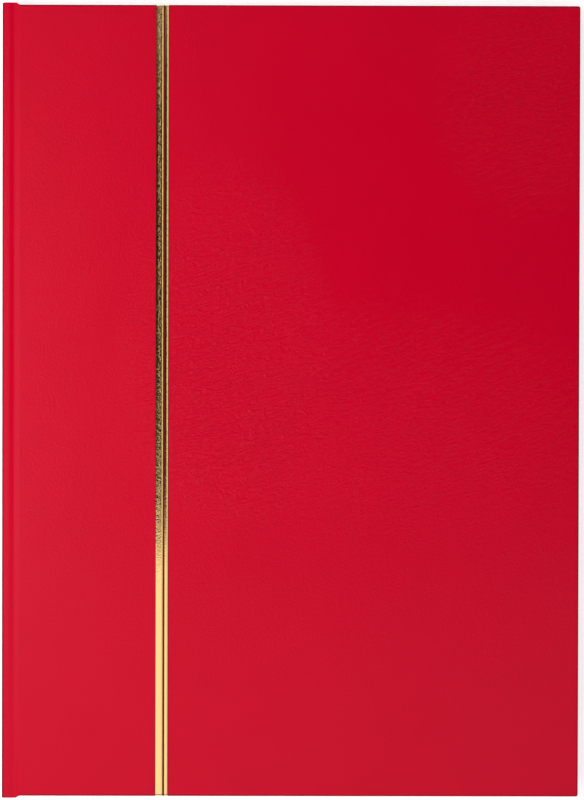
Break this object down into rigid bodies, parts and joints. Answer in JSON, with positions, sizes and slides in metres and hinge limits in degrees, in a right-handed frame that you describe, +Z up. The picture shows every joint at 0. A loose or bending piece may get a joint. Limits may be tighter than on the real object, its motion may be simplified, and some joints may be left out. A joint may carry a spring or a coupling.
{
  "type": "stamp stock album",
  "caption": "Hardback stock album for stamps: red leatherette case with two gold lines, black card leaves with clear strips, glassine sheets and cloth hinges.",
  "frame": {"origin": "on the table under the middle of the closed album, which lies on its back cover", "axes": "+Y towards the head of the pages, +Z up through the closed album to the front cover, -X towards the spine, +X towards the fore-edge"},
  "size_m": [0.224, 0.3086, 0.0157],
  "materials": {
    "red_leatherette": "crimson leatherette, very fine grain, semi-matte sheen",
    "greyboard": "raw grey bookbinding board",
    "endpaper": "heavy uncoated off-white endpaper",
    "black_card": "matte black page card",
    "clear_film": "clear glossy film",
    "glassine": "translucent glassine, slightly glossy",
    "hinge_linen": "black woven bookbinding linen",
    "mull": "starched open-weave spine cloth",
    "band_thread": "woven end band",
    "gold_foil": "hot-stamped gold foil, slightly crackled"
  },
  "bodies": {
    "back_cover": {"back_covering": "red_leatherette", "back_board": "greyboard", "back_pastedown": "endpaper"},
    "spine": {"spine_covering": "red_leatherette", "spine_board": "greyboard", "spine_lining": "mull", "head_band": "band_thread", "tail_band": "band_thread", "back_joint_cloth": "red_leatherette", "front_joint_cloth": "red_leatherette"},
    "front_cover": {"front_covering": "red_leatherette", "front_board": "greyboard", "front_pastedown": "endpaper", "wide_gold_band": "gold_foil", "thin_gold_line": "gold_foil"},
    "leaf_1": {"leaf_1_card": "black_card", "leaf_1_strips_recto": "clear_film", "leaf_1_strips_verso": "clear_film", "leaf_1_linen_hinge": "hinge_linen"},
    "leaf_2": {"leaf_2_card": "black_card", "leaf_2_strips_recto": "clear_film", "leaf_2_strips_verso": "clear_film", "leaf_2_linen_hinge": "hinge_linen"},
    "leaf_3": {"leaf_3_card": "black_card", "leaf_3_strips_recto": "clear_film", "leaf_3_strips_verso": "clear_film", "leaf_3_linen_hinge": "hinge_linen"},
    "leaf_4": {"leaf_4_card": "black_card", "leaf_4_strips_recto": "clear_film", "leaf_4_strips_verso": "clear_film", "leaf_4_linen_hinge": "hinge_linen"},
    "leaf_5": {"leaf_5_card": "black_card", "leaf_5_strips_recto": "clear_film", "leaf_5_strips_verso": "clear_film", "leaf_5_linen_hinge": "hinge_linen"},
    "leaf_6": {"leaf_6_card": "black_card", "leaf_6_strips_recto": "clear_film", "leaf_6_strips_verso": "clear_film", "leaf_6_linen_hinge": "hinge_linen"},
    "leaf_7": {"leaf_7_card": "black_card", "leaf_7_strips_recto": "clear_film", "leaf_7_strips_verso": "clear_film", "leaf_7_linen_hinge": "hinge_linen"},
    "leaf_8": {"leaf_8_card": "black_card", "leaf_8_strips_recto": "clear_film", "leaf_8_strips_verso": "clear_film", "leaf_8_linen_hinge": "hinge_linen"},
    "interleaf_1": {"interleaf_1": "glassine"},
    "interleaf_2": {"interleaf_2": "glassine"},
    "interleaf_3": {"interleaf_3": "glassine"},
    "interleaf_4": {"interleaf_4": "glassine"},
    "interleaf_5": {"interleaf_5": "glassine"},
    "interleaf_6": {"interleaf_6": "glassine"},
    "interleaf_7": {"interleaf_7": "glassine"},
    "front_flyleaf": {"front_flyleaf": "endpaper"},
    "back_flyleaf": {"back_flyleaf": "endpaper"}
  },
  "joints": [
    {"name": "back_joint", "type": "hinge", "parent": "back_cover", "child": "spine", "pos_m": [-0.111, 0, 0.001], "axis": [0, -1, 0], "range_deg": [0, 90], "deforming": ["back_joint_cloth"]},
    {"name": "front_joint", "type": "hinge", "parent": "spine", "child": "front_cover", "pos_m": [-0.111, 0, 0.01468], "axis": [0, -1, 0], "range_deg": [0, 90], "deforming": ["front_joint_cloth"]},
    {"name": "front_flyleaf_turn", "type": "hinge", "parent": "spine", "child": "front_flyleaf", "pos_m": [-0.1086, 0, 0.01228], "axis": [0, -1, 0], "range_deg": [0, 90]},
    {"name": "leaf_1_turn", "type": "hinge", "parent": "spine", "child": "leaf_1", "pos_m": [-0.10828, 0, 0.01196], "axis": [0, -1, 0], "range_deg": [0, 90], "deforming": ["leaf_1_linen_hinge"]},
    {"name": "interleaf_1_turn", "type": "hinge", "parent": "spine", "child": "interleaf_1", "pos_m": [-0.10796, 0, 0.01164], "axis": [0, -1, 0], "range_deg": [0, 90]},
    {"name": "leaf_2_turn", "type": "hinge", "parent": "spine", "child": "leaf_2", "pos_m": [-0.10764, 0, 0.01132], "axis": [0, -1, 0], "range_deg": [0, 90], "deforming": ["leaf_2_linen_hinge"]},
    {"name": "interleaf_2_turn", "type": "hinge", "parent": "spine", "child": "interleaf_2", "pos_m": [-0.10732, 0, 0.011], "axis": [0, -1, 0], "range_deg": [0, 90]},
    {"name": "leaf_3_turn", "type": "hinge", "parent": "spine", "child": "leaf_3", "pos_m": [-0.107, 0, 0.01068], "axis": [0, -1, 0], "range_deg": [0, 90], "deforming": ["leaf_3_linen_hinge"]},
    {"name": "interleaf_3_turn", "type": "hinge", "parent": "spine", "child": "interleaf_3", "pos_m": [-0.10668, 0, 0.01036], "axis": [0, -1, 0], "range_deg": [0, 90]},
    {"name": "leaf_4_turn", "type": "hinge", "parent": "spine", "child": "leaf_4", "pos_m": [-0.10636, 0, 0.01004], "axis": [0, -1, 0], "range_deg": [0, 90], "deforming": ["leaf_4_linen_hinge"]},
    {"name": "interleaf_4_turn", "type": "hinge", "parent": "spine", "child": "interleaf_4", "pos_m": [-0.10604, 0, 0.00972], "axis": [0, -1, 0], "range_deg": [0, 90]},
    {"name": "back_flyleaf_turn", "type": "hinge", "parent": "spine", "child": "back_flyleaf", "pos_m": [-0.1086, 0, 0.0034], "axis": [0, 1, 0], "range_deg": [0, 90]},
    {"name": "leaf_8_turn", "type": "hinge", "parent": "spine", "child": "leaf_8", "pos_m": [-0.10828, 0, 0.00372], "axis": [0, 1, 0], "range_deg": [0, 90], "deforming": ["leaf_8_linen_hinge"]},
    {"name": "interleaf_7_turn", "type": "hinge", "parent": "spine", "child": "interleaf_7", "pos_m": [-0.10796, 0, 0.00404], "axis": [0, 1, 0], "range_deg": [0, 90]},
    {"name": "leaf_7_turn", "type": "hinge", "parent": "spine", "child": "leaf_7", "pos_m": [-0.10764, 0, 0.00436], "axis": [0, 1, 0], "range_deg": [0, 90], "deforming": ["leaf_7_linen_hinge"]},
    {"name": "interleaf_6_turn", "type": "hinge", "parent": "spine", "child": "interleaf_6", "pos_m": [-0.10732, 0, 0.00468], "axis": [0, 1, 0], "range_deg": [0, 90]},
    {"name": "leaf_6_turn", "type": "hinge", "parent": "spine", "child": "leaf_6", "pos_m": [-0.107, 0, 0.005], "axis": [0, 1, 0], "range_deg": [0, 90], "deforming": ["leaf_6_linen_hinge"]},
    {"name": "interleaf_5_turn", "type": "hinge", "parent": "spine", "child": "interleaf_5", "pos_m": [-0.10668, 0, 0.00532], "axis": [0, 1, 0], "range_deg": [0, 90]},
    {"name": "leaf_5_turn", "type": "hinge", "parent": "spine", "child": "leaf_5", "pos_m": [-0.10636, 0, 0.00564], "axis": [0, 1, 0], "range_deg": [0, 90], "deforming": ["leaf_5_linen_hinge"]}
  ],
  "couplings": [
    {"joint": "front_flyleaf_turn", "follows": "front_joint", "ratio": 0.999},
    {"joint": "leaf_1_turn", "follows": "front_joint", "ratio": 0.9977},
    {"joint": "interleaf_1_turn", "follows": "front_joint", "ratio": 0.9964},
    {"joint": "leaf_2_turn", "follows": "front_joint", "ratio": 0.9951},
    {"joint": "interleaf_2_turn", "follows": "front_joint", "ratio": 0.9938},
    {"joint": "leaf_3_turn", "follows": "front_joint", "ratio": 0.9925},
    {"joint": "interleaf_3_turn", "follows": "front_joint", "ratio": 0.9912},
    {"joint": "leaf_4_turn", "follows": "front_joint", "ratio": 0.9899},
    {"joint": "interleaf_4_turn", "follows": "front_joint", "ratio": 0.9886},
    {"joint": "back_flyleaf_turn", "follows": "back_joint", "ratio": 0.999},
    {"joint": "leaf_8_turn", "follows": "back_joint", "ratio": 0.9977},
    {"joint": "interleaf_7_turn", "follows": "back_joint", "ratio": 0.9964},
    {"joint": "leaf_7_turn", "follows": "back_joint", "ratio": 0.9951},
    {"joint": "interleaf_6_turn", "follows": "back_joint", "ratio": 0.9938},
    {"joint": "leaf_6_turn", "follows": "back_joint", "ratio": 0.9925},
    {"joint": "interleaf_5_turn", "follows": "back_joint", "ratio": 0.9912},
    {"joint": "leaf_5_turn", "follows": "back_joint", "ratio": 0.9899}
  ]
}
